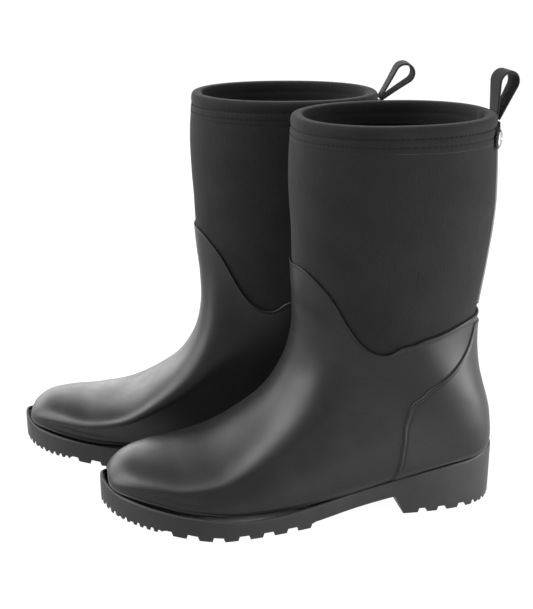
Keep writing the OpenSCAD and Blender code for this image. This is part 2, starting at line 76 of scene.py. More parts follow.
# The boot's skin as a fan of sections, from the toe tip over the instep and up to the collar.
# Each row: top [from heel, height], bottom or back [from heel, height], half width, where the widest
# line lies, roundness above and below it, sideways shift, and sideways shift of the crest.
SECTIONS = np.array([
    [277, 25, 277, 18.8, 5.5, 0.50, 2.0, 2.0, -7, 0],
    [273.3, 35.3, 274, 18.3, 16.2, 0.42, 2.0, 3.0, -6.5, 0],
    [263, 42.2, 265, 16.6, 26.6, 0.40, 2.0, 4.0, -5.5, -1.5],
    [247.5, 43.6, 248, 14.6, 36.5, 0.37, 2.0, 6.0, -4, -6],
    [226, 42.8, 226, 13.2, 44.5, 0.35, 2.0, 7.0, -2.2, -11],
    [201, 47.5, 197, 11.6, 47.5, 0.32, 2.0, 7.0, -0.6, -15],
    [178, 61.6, 162, 11.3, 45, 0.30, 2.0, 7.0, 1, -18],
    [160, 77.8, 122, 13.8, 41, 0.30, 2.1, 6.5, 2, -20],
    [147.5, 99, 80, 21.5, 38.2, 0.32, 2.2, 6.5, 2.2, -21],
    [142.5, 121, 42, 27, 37.3, 0.38, 2.2, 6.0, 2, -19],
    [142.5, 143, 11, 36, 37, 0.46, 2.2, 4.4, 1.5, -14],
    [144, 160, 6.6, 64, 38.5, 0.52, 2.2, 2.8, 1, -8],
    [145.3, 178, 15.3, 100, 40.5, 0.52, 2.2, 2.2, 0.5, -3],
    [146.3, 197, 17.8, 134, 43, 0.50, 2.2, 2.2, 0.2, 0],
    [147.4, 217, 13.2, 174, 46, 0.50, 2.2, 2.2, 0, 0],
    [148.3, 238, 9.8, 214, 49, 0.50, 2.2, 2.2, 0, 0],
    [147.2, 259, 11.6, 256.5, 50.5, 0.50, 2.2, 2.2, 0, 0],
    [145, 275, 13.2, 275, 50, 0.50, 2.2, 2.2, 0, 0],
])
LAST = len(SECTIONS) - 1

# Outsole outline: distance from the heel, half width, sideways shift of the middle
OUTLINE = [
    [0, 0, 0], [3, 14.5, 0], [10, 25, 0], [22, 32.2, 0.3], [40, 35.4, 0.8], [60, 35.4, 1.5],
    [85, 33.8, 2.2], [110, 34.8, 2.5], [135, 39.5, 2.2], [160, 45.2, 1.2], [185, 49.4, 0],
    [208, 50.4, -1], [230, 46.8, -2.5], [248, 40, -4], [262, 30.7, -5.5], [272, 19.8, -6.5],
    [278, 9.4, -7], [280, 0, -7],
]
# Heights along the sole, each against the distance from the heel
WELT = [
    [0, 38.6], [4, 39.2], [8, 38.9], [14, 37.9], [20, 36.8], [35, 34.9], [54, 32.1], [73, 28], [91, 23.9],
    [105, 21.2], [120, 18.7], [134, 16.6], [149, 14.7], [161, 13.6], [174, 13.1], [186, 13.3],
    [203, 15.2], [217, 17.2], [230, 19], [243, 21.2], [255, 23], [264, 24.3], [270, 25], [275, 26.8],
    [278, 29], [280, 31],
]
CUP_FLOOR = [
    [0, 24.2], [42, 24.2], [80, 18.7], [122, 11], [162, 8.5], [197, 8.8], [226, 10.4], [248, 11.8],
    [265, 13.8], [274, 15.5], [280, 16.5],
]
GROUND = [
    [0, 2.5], [8, 0], [162, 0], [203, 0], [215, 1.2], [230, 3.4], [246, 5.8], [262, 7.4], [274, 9],
    [280, 12],
]
HEEL_LUGS = [[4, 9], [13.5, 18.5], [22, 26.5], [33.5, 41.5], [49, 56], [63, 73.5]]
BALL_LUGS = [
    [141.5, 150.5], [159, 167.5], [176, 184.5], [193, 202], [210.5, 219], [227.5, 236], [244, 247.5],
    [251.5, 255], [259, 262.5], [266.5, 270],
]
WAIST = [[80, 13.8], [95, 11.1], [110, 8.4], [125, 5.9], [138, 4]]
GROOVE = [[0, 3], [236, 3], [245, 2.5], [280, 2]]
LUG_SLANT = 1

# Top edge of the rubber: angle round the boot from its front, station
EDGE = [
    [0, 11.9], [25, 12.02], [36, 11.9], [46, 11.62], [54, 11.1], [62, 10.74], [70, 10.66], [77, 10.85],
    [86, 11.45], [98, 11.98], [110, 12.33], [130, 12.82], [160, 13.13], [180, 13.18],
]
# Heel counter: its front edge as station and angle, and the back seam's station beside it
COUNTER_SEAM = [
    [7.95, 150, 9.9], [8.1, 130, 10], [8.3, 115.5, 10.15], [8.6, 102.7, 10.35], [9, 95.2, 10.6],
    [9.6, 91.6, 10.95], [10.3, 92, 11.3], [10.8, 95.7, 11.55], [11.2, 103, 11.8], [11.6, 114.5, 12.05],
    [12, 127.6, 12.35], [12.4, 139, 12.65], [12.7, 145.2, 12.85], [12.93, 149, 13],
]
# Outline of the removable footbed: distance from the heel, half width, sideways shift
FOOTBED = [
    [26, 0, 1.8], [27.5, 8, 1.8], [30, 13.5, 1.8], [34, 17.6, 1.8], [42, 21, 1.9], [60, 23, 2.1],
    [80, 22.9, 2.1], [100, 22.7, 2.2], [120, 23.4, 2], [140, 25.4, 1.8], [160, 28, 1.2],
    [180, 31.7, 0.3], [200, 33.2, -0.9], [215, 33, -1.7], [230, 30.8, -2.7], [240, 28.2, -3.5],
    [248, 24.6, -4.2], [254, 20.4, -4.8], [258, 14.5, -5.2], [260, 0, -5.4],
]
FOOTBED_LIFT = 11.6
FOOTBED_T = 3


# ---- Curves ---------------------------------------------------------------------------------------
def column(rows, k):
    """Two columns of a table: its first and its k-th."""
    return [[row[0], row[k]] for row in rows]


def smooth(x, rows):
    """Smooth curve through a table's points, read at x."""
    xs, ys = np.array(rows, float).T
    x = np.clip(np.asarray(x, float), xs[0], xs[-1])
    slope = np.gradient(ys, xs)
    i = np.clip(np.searchsorted(xs, x) - 1, 0, len(xs) - 2)
    h = xs[i + 1] - xs[i]
    u = (x - xs[i]) / h
    return (
        (2 * u**3 - 3 * u**2 + 1) * ys[i]
        + (u**3 - 2 * u**2 + u) * h * slope[i]
        + (3 * u**2 - 2 * u**3) * ys[i + 1]
        + (u**3 - u**2) * h * slope[i + 1]
    )


def straight(x, rows):
    """Straight lines through a table's points, read at x."""
    xs, ys = np.array(rows, float).T
    return np.interp(x, xs, ys)


def ease(x, low, high):
    """0 below low, 1 above high, smooth between."""
    u = np.clip((np.asarray(x, float) - low) / (high - low), 0, 1)
    return u * u * (3 - 2 * u)


# ---- Skin and layers ------------------------------------------------------------------------------
def section(t):
    i = np.clip(np.floor(t).astype(int), 0, LAST - 1)
    u = (t - i)[..., None]
    a, b, c, d = (SECTIONS[np.clip(i + k, 0, LAST)] for k in (-1, 0, 1, 2))
    linear = (c - a) * u
    square = (2 * a - 5 * b + 4 * c - d) * u**2
    cube = (3 * b - a - 3 * c + d) * u**3
    return 0.5 * (2 * b + linear + square + cube)


def skin(t, a, depth):
    """Points of the boot's skin at station t and angle a in degrees, depth below the surface."""
    t, a, depth = np.broadcast_arrays(*(np.asarray(v, float) for v in (t, a, depth)))
    r = np.moveaxis(section(t), -1, 0)
    span = np.stack([r[2] - r[0], r[3] - r[1]])
    along = span / np.hypot(*span)
    c, s = np.cos(np.radians(a)), np.sin(np.radians(a))
    n = np.where(c >= 0, r[6], r[7])
    share = np.abs(c) ** (2 / n)
    v = np.where(c >= 0, r[5] * (1 - share), r[5] + (1 - r[5]) * share)
    from_heel = r[0] + along[0] * depth + (span[0] - 2 * along[0] * depth) * v
    height = r[1] + along[1] * depth + (span[1] - 2 * along[1] * depth) * v
    toe_wall = depth * np.maximum(0, 1 - t / 3.5)
    side = np.sign(s) * np.abs(s) ** (2 / n) * (r[4] - depth)
    return np.stack([side + r[8] + r[9] * (1 - v) ** 2, MID - from_heel + toe_wall, height], -1)


def leg_share(t):
    return ease(t, 9, 12)


def shell_out(t):
    return -(EDGE_T + PLY) * leg_share(t)


def shell_in(t):
    return SHELL_T * (1 - leg_share(t)) - PLY * leg_share(t)


def foam_out(t):
    return shell_in(t) + PLY


def foam_in(t):
    return foam_out(t) + FOOT_FOAM + (LEG_FOAM - FOOT_FOAM) * leg_share(t)


def lining_out(t):
    return foam_in(t) + PLY


def lining_in(t):
    return lining_out(t) + LINING_T


COLUMNS = 180
ANGLES = np.arange(COLUMNS) * 360 / COLUMNS
HALF_TURN = np.where(ANGLES > 180, 360 - ANGLES, ANGLES)
EDGE_AT = smooth(HALF_TURN, EDGE)


def mm_per_station(t, a):
    """Length of the skin that one station covers, at station t and angle a."""
    step = 0.02
    return np.linalg.norm(skin(t + step, a, 0) - skin(t - step, a, 0), axis=-1) / (2 * step)


def back_seam(a, width):
    """1 on the back seam, fading over width degrees to each side."""
    return np.exp(-(((a - 180) / width) ** 2))


# ---- Meshes ---------------------------------------------------------------------------------------
def centre(low, high):
    return [(p + q) / 2 for p, q in zip(low, high)]


def turned(points, side):
    """Points of one boot's frame, mirrored and turned as that boot stands."""
    q = math.radians(-TOE_OUT[side])
    x = points[..., 0] * OUTSIDE[side]
    y = points[..., 1]
    across = math.cos(q) * x - math.sin(q) * y
    back = math.sin(q) * x + math.cos(q) * y
    return np.stack([across, back, points[..., 2]], -1)


def outline(q):
    """Half width, sideways shift and distance from the heel along the outsole's outline, q = 0..180."""
    f = MID - MID * np.cos(np.radians(q))
    stations = np.degrees(np.arccos(np.clip(1 - np.array([row[0] for row in OUTLINE]) / MID, -1, 1)))
    half = smooth(q, list(zip(stations, [row[1] for row in OUTLINE])))
    return half, smooth(f, column(OUTLINE, 2)), f


def boot_origin(side):
    """Where one boot's frame stands in the pair's frame, in millimetres, from its packed outsole."""
    half, shift, f = outline(np.linspace(0, 180, 400))
    edge = np.concatenate([
        np.stack([shift + half, MID - f, 0 * f], -1),
        np.stack([shift - half, MID - f, 0 * f], -1),
    ])
    flat = turned(edge, side)
    here = centre(flat.min(0), flat.max(0))
    packed = centre(*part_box(side + "_outsole"))
    return np.array([packed[0] / MM - here[0], packed[1] / MM - here[1], 0])


ORIGIN = {side: boot_origin(side) for side in SIDES}


def place(points, side):
    return (turned(np.asarray(points, float), side) + ORIGIN[side]) * MM


def loft_faces(rings, around, closed=True):
    """Quads between neighbouring rings."""
    i = np.arange(rings - 1)[:, None]
    j = np.arange(around if closed else around - 1)[None, :]
    k = (j + 1) % around
    quads = [i * around + j, i * around + k, (i + 1) * around + k, (i + 1) * around + j]
    return np.stack(quads, -1).reshape(-1, 4).tolist()


def loft(rings):
    """Vertices and faces of closed rings joined one after another, with both ends capped."""
    rings = np.asarray(rings)
    m, n = rings.shape[:2]
    ends = np.stack([rings[0].mean(0), rings[-1].mean(0)])
    faces = loft_faces(m, n)
    faces += [[m * n, (j + 1) % n, j] for j in range(n)]
    faces += [[m * n + 1, (m - 1) * n + j, (m - 1) * n + (j + 1) % n] for j in range(n)]
    return np.concatenate([rings.reshape(-1, 3), ends]), faces


def hoop(profiles):
    """Vertices and faces of closed profiles joined in a ring."""
    profiles = np.asarray(profiles)
    n = profiles.shape[1]
    wrapped = loft_faces(len(profiles) + 1, n)
    total = len(profiles) * n
    return profiles.reshape(-1, 3), [[v % total for v in face] for face in wrapped]


def joined(parts):
    """One list of vertices and faces out of several."""
    verts, faces, base = [], [], 0
    for v, f in parts:
        verts.append(v)
        faces += [[k + base for k in face] for face in f]
        base += len(v)
    return np.concatenate(verts), faces


def piece(name, side, shape, node, material, body=None, sharp=None, weld=False):
    """Makes one visual piece from a shape in a boot's frame, hangs it on its body and hides the CAD node it
    stands for.
    """
    verts, faces = shape
    mesh = bpy.data.meshes.new(name)
    mesh.from_pydata(place(verts, side).tolist(), [], faces)
    bm = bmesh.new()
    bm.from_mesh(mesh)
    if weld:
        bmesh.ops.remove_doubles(bm, verts=bm.verts, dist=2e-6)
    bmesh.ops.dissolve_degenerate(bm, edges=bm.edges, dist=1e-6)
    bmesh.ops.recalc_face_normals(bm, faces=bm.faces)
    bm.to_mesh(mesh)
    bm.free()
    mesh.shade_smooth()
    if sharp is not None:
        mesh.set_sharp_from_angle(angle=math.radians(sharp))
    obj = bpy.data.objects.new(name, mesh)
    bpy.context.scene.collection.objects.link(obj)
    mesh.materials.append(MATERIALS[material])
    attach(obj, body or side + "_boot")
    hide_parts(side + "_" + node)
    return obj


# ---- Materials ------------------------------------------------------------------------------------
class Nodes:
    """A material's node tree, with short calls for the nodes it is built from."""

    def __init__(self, name):
        self.material = bpy.data.materials.new(name)
        self.material.use_nodes = True
        self.tree = self.material.node_tree
        self.shader = self.tree.nodes["Principled BSDF"]
        self.where = self.tree.nodes.new("ShaderNodeTexCoord").outputs["Object"]

    def add(self, kind, settings=(), **inputs):
        node = self.tree.nodes.new(kind)
        for key, value in dict(settings).items():
            setattr(node, key, value)
        for key, value in inputs.items():
            socket = node.inputs[key.replace("_", " ")]
            if isinstance(value, bpy.types.NodeSocket):
                self.tree.links.new(value, socket)
            else:
                socket.default_value = value
        return node

    def noise(self, scale, detail=2.0, roughness=0.5, distortion=0.0):
        return self.add(
            "ShaderNodeTexNoise", Vector=self.where, Scale=scale, Detail=detail, Roughness=roughness,
            Distortion=distortion,
        ).outputs["Fac"]

    def cells(self, scale, feature="F1"):
        return self.add(
            "ShaderNodeTexVoronoi", {"feature": feature}, Vector=self.where, Scale=scale
        ).outputs["Distance"]

    def ramp(self, value, low, high, to_low=0.0, to_high=1.0):
        node = self.add("ShaderNodeMapRange", Value=value)
        for name, number in (("From Min", low), ("From Max", high), ("To Min", to_low), ("To Max", to_high)):
            node.inputs[name].default_value = number
        return node.outputs["Result"]

    def mix(self, share, colour_a, colour_b):
        node = self.add("ShaderNodeMix", {"data_type": "RGBA"})
        for k, value in ((0, share), (6, colour_a), (7, colour_b)):
            if isinstance(value, bpy.types.NodeSocket):
                self.tree.links.new(value, node.inputs[k])
            else:
                node.inputs[k].default_value = value
        return node.outputs[2]

    def math(self, operation, a, b):
        node = self.add("ShaderNodeMath", {"operation": operation})
        for k, value in enumerate((a, b)):
            if isinstance(value, bpy.types.NodeSocket):
                self.tree.links.new(value, node.inputs[k])
            else:
                node.inputs[k].default_value = value
        return node.outputs[0]

    def bump(self, height, distance, strength=1.0, normal=None):
        node = self.add("ShaderNodeBump", Height=height, Distance=distance, Strength=strength)
        if normal is not None:
            self.tree.links.new(normal, node.inputs["Normal"])
        return node.outputs["Normal"]

    def set(self, **inputs):
        for key, value in inputs.items():
            socket = self.shader.inputs[key.replace("_", " ")]
            if isinstance(value, bpy.types.NodeSocket):
                self.tree.links.new(value, socket)
            else:
                socket.default_value = value
        return self.material


def grey(level, tint=0.0):
    """A neutral colour, a little bluer with tint."""
    return (level * (1 - tint), level * (1 - 0.5 * tint), level * (1 + tint), 1)


def rubber(name, level, roughness, grain=0.00005, gloss=0.24):
    """Moulded rubber: satin, with faint lighter patches painted in as broad soft reflection, fine grain and
    specks of dust.
    """
    n = Nodes(name)
    # Painted reflection: random patches up to a third lighter, standing in for broad soft reflections
    painted_reflection = n.ramp(n.noise(38, 3, 0.55), 0.35, 0.7)
    dust = n.ramp(n.cells(330), 0.0, 0.1, 1.0, 0.0)
    spots = n.math("MULTIPLY", dust, n.ramp(n.noise(60, 1), 0.55, 0.72))
    body = n.mix(painted_reflection, grey(level), grey(level * 1.35))
    colour = n.mix(n.math("MULTIPLY", spots, 0.12), body, grey(0.16))
    fine = n.bump(n.noise(1500, 2), grain)
    normal = n.bump(n.noise(24, 2), 0.0006, 0.5, fine)
    rough = n.ramp(n.noise(55, 4, 0.6), 0.3, 0.7, roughness - 0.04, roughness + 0.06)
    return n.set(
        Base_Color=colour, Roughness=rough, Normal=normal, IOR=1.5, Specular_IOR_Level=gloss,
    )


def knit(name, level, sheen, cell=900, fleck=0.3):
    """Fine knitted textile: small loops, pile flecks and a soft sheen."""
    n = Nodes(name)
    loops = n.cells(cell, "SMOOTH_F1")
    tone = n.ramp(n.noise(45, 3, 0.6), 0.3, 0.7)
    base = n.mix(tone, grey(level * 0.85), grey(level * 1.15))
    pile = n.ramp(n.noise(2100, 1), 0.62, 0.8)
    colour = n.mix(n.math("MULTIPLY", pile, fleck), base, grey(level * 4))
    fine = n.bump(loops, 0.0003, 0.6)
    normal = n.bump(n.noise(300, 3, 0.6), 0.0002, 0.5, fine)
    return n.set(
        Base_Color=colour, Roughness=0.95, Normal=normal, Sheen_Weight=sheen, Sheen_Roughness=0.45,
        Specular_IOR_Level=0.15,
    )


def metal(name, level, roughness):
    n = Nodes(name)
    scratches = n.noise(700, 4, 0.7)
    rough = n.ramp(scratches, 0.3, 0.7, roughness - 0.06, roughness + 0.1)
    colour = n.mix(n.ramp(n.noise(400, 3), 0.4, 0.75), grey(level), grey(level * 0.8))
    return n.set(Base_Color=colour, Roughness=rough, Metallic=1.0, Normal=n.bump(scratches, 0.00003))


MATERIALS = {
    "outsole_rubber": rubber("outsole_rubber", 0.014, 0.5, 0.00008),
    "shell_rubber": rubber("shell_rubber", 0.008, 0.38),
    "counter_rubber": rubber("counter_rubber", 0.009, 0.4),
    "washer_rubber": rubber("washer_rubber", 0.008, 0.5),
    "strip_tape": rubber("strip_tape", 0.1, 0.75, 0.00008, 0.12),
    "neoprene_knit": knit("neoprene_knit", 0.010, 0.02, 900, 0.5),
    "sock_neoprene": knit("sock_neoprene", 0.012, 0.05),
    "hem_knit": knit("hem_knit", 0.0095, 0.04),
    "lining_textile": knit("lining_textile", 0.008, 0.03, 700, 0.15),
    "footbed_foam": knit("footbed_foam", 0.05, 0.1, 1100, 0.2),
    "thread": knit("thread", 0.006, 0.02, 2500, 0.1),
    "webbing": knit("webbing", 0.01, 0.12, 1600, 0.3),
    "rivet_metal": metal("rivet_metal", 0.32, 0.34),
    "shank_steel": metal("shank_steel", 0.5, 0.35),
    "board_fibre": knit("board_fibre", 0.2, 0.0, 1500, 0.1),
}


# ---- Foot shell -----------------------------------------------------------------------------------
# Rubber's rounded top edge: distance below the edge, how far it stands proud
LIP = [[2.6, 0], [2.1, 0.08], [1.7, 0.25], [1.3, 0.42], [0.9, 0.5], [0.55, 0.42], [0.25, 0.15], [0.05, -0.3]]
FOOT_STATIONS = np.concatenate([np.linspace(0, 1, 16), np.linspace(1, 9, 110)[1:]])
# The shell is drawn in by this much, fading out between these heights above the welt line
TUCK_DEPTH = 1.9
TUCK = (3.5, 7.5)
# Skirt of the shell above the sole: height above the welt line, how far it stands in (minus is proud)
SKIRT = [
    [8.6, 0.3], [8.0, 0.05], [7.4, -0.04], [6.6, -0.06], [5.8, -0.06], [5.0, -0.04], [4.3, 0.0], [3.7, 0.1],
    [3.2, 0.25], [2.8, 0.35], [2.5, 0.3], [2.2, 0.1], [1.9, -0.08], [1.6, -0.12], [1.35, 0.0], [1.15, 0.3],
    [1.0, 0.7], [0.9, 1.3], [0.6, 1.7], [-0.6, 2.0], [-1.6, 2.1],
]
SKIRT_BACK = 1.6
# Heel rib: first and last station, half its angle
HEEL_RIB = (10.62, 12.98, 2.6)


def foot_rings(depth, stride=1):
    return [skin(t, ANGLES, depth(np.array(t))) for t in FOOT_STATIONS[::stride]]


def climb(start, stop, steps, depth, first=1):
    """Rings that climb from one station per column to another."""
    rings = []
    for i in range(first, steps + 1):
        t = start + (stop - start) * i / steps
        rings.append(skin(t, ANGLES, depth(t)))
    return rings


def foot_shell():
    rate = mm_per_station(EDGE_AT, ANGLES)
    below = EDGE_AT - LIP[0][0] / rate
    outer = []
    for t in list(FOOT_STATIONS) + [9 + (below - 9) * i / 60 for i in range(1, 61)]:
        outer.append(skin(t, ANGLES, shell_out(t) + tuck(skin(t, ANGLES, shell_out(t)))))
    for d, proud in LIP:
        t = EDGE_AT - d / rate
        outer.append(skin(t, ANGLES, shell_out(t) - proud))
    inner = [skin(EDGE_AT, ANGLES, shell_out(EDGE_AT) + EDGE_T * 0.6)]
    inner += climb(9 + 0 * below, EDGE_AT - 0.8 / rate, 12, shell_in)[::-1]
    inner += foot_rings(shell_in, 4)[::-1][:-1]
    return joined([loft(outer + inner), skirt()])


def welt_columns(step=1.1):
    """Points round the sole's outline with their outward normals, evenly spaced, as a closed loop."""
    q = np.linspace(0, 180, 4000)
    half, shift, f = outline(q)
    line = np.concatenate([
        np.stack([shift + half, MID - f], -1), np.stack([shift - half, MID - f], -1)[-2:0:-1]
    ])
    length = np.concatenate([[0], np.cumsum(np.linalg.norm(np.diff(line, axis=0), axis=1))])
    at = np.arange(0, length[-1], step)
    points = np.stack([np.interp(at, length, line[:, k]) for k in (0, 1)], -1)
    along = np.roll(points, -4, axis=0) - np.roll(points, 4, axis=0)
    along /= np.linalg.norm(along, axis=1)[:, None]
    return points, np.stack([-along[:, 1], along[:, 0]], -1)


def skirt():
    """Lowest part of the shell and counter: a soft groove, a bead and the undercut over the sole."""
    fine = np.arange(0, 360, 1.0)
    parts = [loft([skin(t, fine, shell_out(np.array(t))) for t in np.linspace(0, 9.6, 260)])]
    t, a = counter_grid(150, 161)
    parts.append(plate(skin(t, a, shell_out(t) - COUNTER_T - 0.1), skin(t, a, shell_out(t))))
    verts, faces = joined(parts)
    tree = BVHTree.FromPolygons(verts.tolist(), [tuple(face) for face in faces])
    points, normals = welt_columns()
    welt = smooth(MID - points[:, 1], WELT)
    rows = []
    for height, inward in SKIRT:
        row = []
        for (x, y), (nx, ny), z in zip(points, normals, welt + height):
            start = (x + 12 * nx, y + 12 * ny, z)
            hit = tree.ray_cast(start, (-nx, -ny, 0))[0]
            row.append(np.array(hit) - np.array([nx, ny, 0]) * inward if hit else None)
        known = [k for k, p in enumerate(row) if p is not None]
        nearest = [min(known, key=lambda i: abs(i - k)) for k in range(len(row))]
        row = [row[k] for k in nearest]
        rows.append(np.array(row))
    flat = np.concatenate([normals, 0 * normals[:, :1]], 1)
    back = [row - flat * SKIRT_BACK for row in rows[::-4]]
    return hoop(np.swapaxes(np.array(rows + back), 0, 1))


# ---- Leg, lining and collar -----------------------------------------------------------------------
def leg_wave(t):
    """Slight softness of the leg's surface, in millimetres."""
    a = np.radians(ANGLES)
    return 0.22 * np.sin(2.1 * t + 2 * a) * np.sin(3 * a + 1.3 * t) * ease(t, 12.5, 13.5)


def seam_line():
    """Stations of the hidden seam between the sock and the leg, one per column."""
    return 9 + (EDGE_AT - 9) * 5 / 6


def neoprene_sock():
    top = seam_line() - 0.01
    outer = foot_rings(foam_out, 4)[1:] + climb(9 + 0 * top, top, 12, foam_out)
    inner = climb(9 + 0 * top, top, 10, foam_in)[::-1] + foot_rings(foam_in, 4)[::-1][:-2]
    return loft(outer + inner)


def neoprene_leg():
    seam, top = seam_line() + 0.01, 16.86 + 0 * EDGE_AT
    outer = climb(seam, EDGE_AT, 5, foam_out, 0)
    outer += climb(EDGE_AT, top, 70, lambda t: foam_out(t) - leg_wave(t))
    inner = climb(EDGE_AT, top, 20, foam_in)[::-1] + climb(seam, EDGE_AT, 4, foam_in, 0)[::-1]
    return hoop(np.swapaxes(np.array(outer + inner), 0, 1))


def lining():
    top = HEM_STATION - 0.02 + 0 * EDGE_AT
    seam = 1.5 * back_seam(ANGLES, 4.5)
    outer = foot_rings(lining_out, 4)[1:] + climb(9 + 0 * top, EDGE_AT, 10, lining_out)
    outer += climb(EDGE_AT, top, 12, lining_out)
    inner = climb(EDGE_AT, top, 60, lambda t: lining_in(t) + seam * ease(t, 11, 13))[::-1]
    inner += climb(9 + 0 * top, EDGE_AT, 30, lining_in)[::-1]
    inner += foot_rings(lining_in, 2)[::-1][:-4]
    return loft(outer + inner)


# Section of the collar hem: station, depth below the skin. It is pinched at both stitch rows.
HEM_OUTSIDE = [
    [16.0, 0.02], [16.04, -0.22], [16.09, -0.34], [16.14, -0.3], [16.17, -0.14], [16.18, -0.1],
    [16.19, -0.14], [16.23, -0.42], [16.31, -0.62], [16.39, -0.44], [16.43, -0.16], [16.44, -0.12],
    [16.45, -0.16], [16.49, -0.5], [16.56, -0.92], [16.65, -1.2], [16.75, -1.3], [16.84, -1.15],
    [16.91, -0.8], [16.96, -0.25], [16.99, 0.5],
]
HEM_TOP = [[17, 1.5], [17, 2.6], [17, 3.8], [16.99, 4.8], [16.96, 5.5], [16.91, 6.0]]
HEM_INSIDE = [
    [16.82, 6.3], [16.7, 6.45], [16.58, 6.4], [16.48, 6.2], [16.44, 6.05], [16.4, 6.2], [16.3, 6.35],
    [16.2, 6.2], [16.17, 6.1], [16.12, 6.25], [16.05, 6.15], [16.03, 5.7],
]
HEM_CORE = [[16.03, 5.2], [16.4, 5.2], [16.87, 5.2], [16.87, 0.3], [16.4, 0.3], [16.02, 0.3]]
STITCH_ROWS = (16.18, 16.44)
# Stitches to a row, how far each row's slant to either side in stations, and their depth
STITCHES = 118
STITCH_SLANT = (0.0, 0.035)
STITCH_DEPTH = -0.3


def collar_hem():
    seam = 1.3 * back_seam(ANGLES, 4.5)
    rings = [skin(t, ANGLES, d) for t, d in HEM_OUTSIDE + HEM_TOP]
    rings += [skin(t, ANGLES, d + seam) for t, d in HEM_INSIDE]
    rings += [skin(t, ANGLES, d + 0 * ANGLES) for t, d in HEM_CORE]
    return hoop(np.swapaxes(np.array(rings), 0, 1))


def capsule(a, b, radius, flatten=1.0, out=(0, 1, 0)):
    """A small rounded bar from a to b, such as one stitch."""
    a, b, out = (np.asarray(v, float) for v in (a, b, out))
    along = (b - a) / np.linalg.norm(b - a)
    across = np.cross(along, out)
    across /= np.linalg.norm(across)
    out = np.cross(across, along)
    rings = []
    for share, size in ((0, 0.35), (0.08, 0.75), (0.25, 1), (0.75, 1), (0.92, 0.75), (1, 0.35)):
        arch = math.sin(math.pi * share)
        at = a + (b - a) * share + out * radius * 0.5 * (arch - 1)
        rings.append([
            at + size * radius * (across * math.cos(q) + out * flatten * math.sin(q))
            for q in np.arange(8) * math.pi / 4
        ])
    return loft(rings)


def hem_stitching():
    """Two rows of single stitches: a straight one below and a slanted one above."""
    stitches = []
    for t, slant in zip(STITCH_ROWS, STITCH_SLANT):
        step = 0.62 * 360 / STITCHES
        for k in range(STITCHES):
            a = k * 360 / STITCHES
            pair = skin(np.array([t - slant, t + slant]), np.array([a, a + step]), STITCH_DEPTH)
            inside = skin(t, a + step / 2, 4)
            stitches.append(capsule(pair[0], pair[1], 0.34, 0.8, pair.mean(0) - inside))
    return joined(stitches)


# ---- Heel counter and back strip --------------------------------------------------------------------
def counter_grid(rows, cols):
    """Stations and angles of the heel counter's grid, each row from its outer to its inner edge.

    The columns crowd towards both edges, where the bead is.
    """
    first, last = COUNTER_SEAM[0][0], COUNTER_SEAM[-1][0]
    edge = np.linspace(first, last, rows)[:, None]
    angle = smooth(edge, column(COUNTER_SEAM, 1))
    back = smooth(edge, column(COUNTER_SEAM, 2))
    v = np.linspace(1, -1, cols)[None, :]
    u = np.sign(v) * (1 - (1 - np.abs(v)) ** 2)
    return edge + (back - edge) * (1 - u * u), 180 - (180 - angle) * u


def plate(outer, inner):
    """Closed plate between two grids of points."""
    return loft(np.concatenate([outer, inner[:, ::-1]], axis=1))


def rounded(distance, radius):
    """Height share of a rounded edge, distance inside the border."""
    u = np.clip(distance / radius, 0, 1)
    return np.sqrt(1 - (1 - u) ** 2)


def border_distance(points):
    """Distance of each grid point from the grid's border."""
    edge = np.concatenate([points[0], points[1:, -1], points[-1, -2::-1], points[-2::-1, 0]])
    start, span = edge[:-1], np.diff(edge, axis=0)
    length = np.maximum((span**2).sum(-1), 1e-12)
    rows = []
    for row in points:
        offset = row[:, None] - start
        share = np.clip((offset * span).sum(-1) / length, 0, 1)
        rows.append(np.sqrt(((offset - share[..., None] * span) ** 2).sum(-1)).min(1))
    return np.array(rows)


def dip(distance, at, width):
    """A smooth bump of height 1 at a distance."""
    return np.exp(-(((distance - at) / width) ** 2))


def above_welt(points):
    """Height of points above the sole's welt line."""
    return points[..., 2] - smooth(MID - points[..., 1], WELT)


def tuck(points):
    """How far the shell is drawn in close above the sole, where the skirt stands in front of it."""
    return TUCK_DEPTH * (1 - ease(above_welt(points), *TUCK))


def heel_counter():
    t, a = counter_grid(150, 161)
    base = skin(t, a, shell_out(t))
    border = border_distance(base)
    height = 0.15 + (COUNTER_T - 0.05) * rounded(border, 0.7)
    height += 0.35 * dip(border, 1.0, 0.55) - 0.4 * dip(border, 2.4, 0.55)
    outer = skin(t, a, shell_out(t) - height + tuck(base))
    inner = skin(t, a, shell_out(t) - 0.05 + tuck(base))
    return joined([plate(outer, inner), heel_rib()])


def heel_rib():
    """Raised rib over the back seam of the counter."""
    t = np.linspace(HEEL_RIB[0], HEEL_RIB[1], 60)[:, None]
    a = np.linspace(-HEEL_RIB[2], HEEL_RIB[2], 15)[None, :] + 180
    t, a = np.broadcast_arrays(t, a)
    base = skin(t, a, shell_out(t) - COUNTER_T)
    height = 0.85 * rounded(border_distance(base), 0.8)
    return plate(skin(t, a, shell_out(t) - COUNTER_T - height), skin(t, a, shell_out(t) - COUNTER_T + 0.6))


def back_strip():
    t = np.linspace(13.24, HEM_STATION - 0.03, 90)[:, None]
    a = np.linspace(180 - STRIP_ANGLE, 180 + STRIP_ANGLE, 49)[None, :]
    t, a = np.broadcast_arrays(t, a)
    base = skin(t, a, 0)
    height = 0.12 + STRIP_T * rounded(border_distance(base), 0.9)
    return plate(skin(t, a, -height), skin(t, a, -0.05))


# ---- Outsole --------------------------------------------------------------------------------------
# Side band from the top down: depth below the welt line, how far it is set in
BAND_TOP = [[0.0, 1.5], [0.05, 1.0], [0.25, 0.5], [0.7, 0.12], [1.4, 0.0], [3.0, -0.1]]
# Groove between the band and the shell: depth below the welt line, how far it is set in
CHANNEL = [[0.1, 1.9], [0.6, 2.2], [1.6, 2.35], [2.4, 2.6], [2.7, 3.2]]
